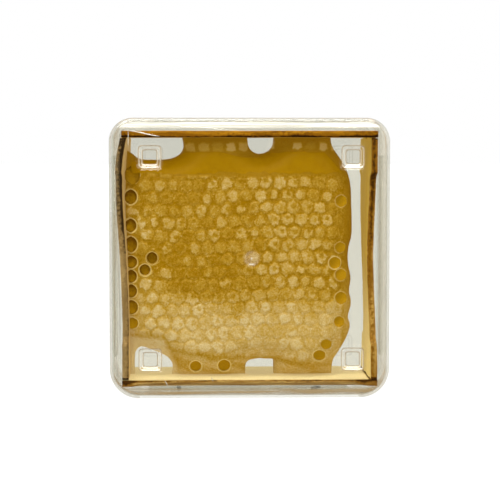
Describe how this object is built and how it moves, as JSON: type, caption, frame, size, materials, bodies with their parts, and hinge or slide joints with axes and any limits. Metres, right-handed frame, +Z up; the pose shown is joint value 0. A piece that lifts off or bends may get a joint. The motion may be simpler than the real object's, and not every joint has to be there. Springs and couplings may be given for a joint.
{
  "type": "comb honey section",
  "caption": "Square of capped honeycomb built in a thin wooden section frame, shut in a clear rigid box with recessed stacking pockets near its corners.",
  "frame": {"origin": "middle of the footprint of the upright box, on the surface it stands on", "axes": "+Z up, -Y out through the front face of the lid, +X to the right as seen from the front"},
  "size_m": [0.118, 0.0538, 0.118],
  "materials": {
    "clear_plastic": "clear, glossy, faintly warm grey where it is thick",
    "basswood": "thin sawn basswood, stained darker by honey and propolis along its edges",
    "comb_wax": "capped wax comb, tan cappings with amber lines between the cells",
    "honey": "clear dark amber honey, wet"
  },
  "bodies": {
    "root": {"base": "clear_plastic", "lid": "clear_plastic", "section_top": "basswood", "section_bottom": "basswood", "section_left": "basswood", "section_right": "basswood", "comb": "comb_wax", "honey_film": "honey"}
  },
  "joints": []
}
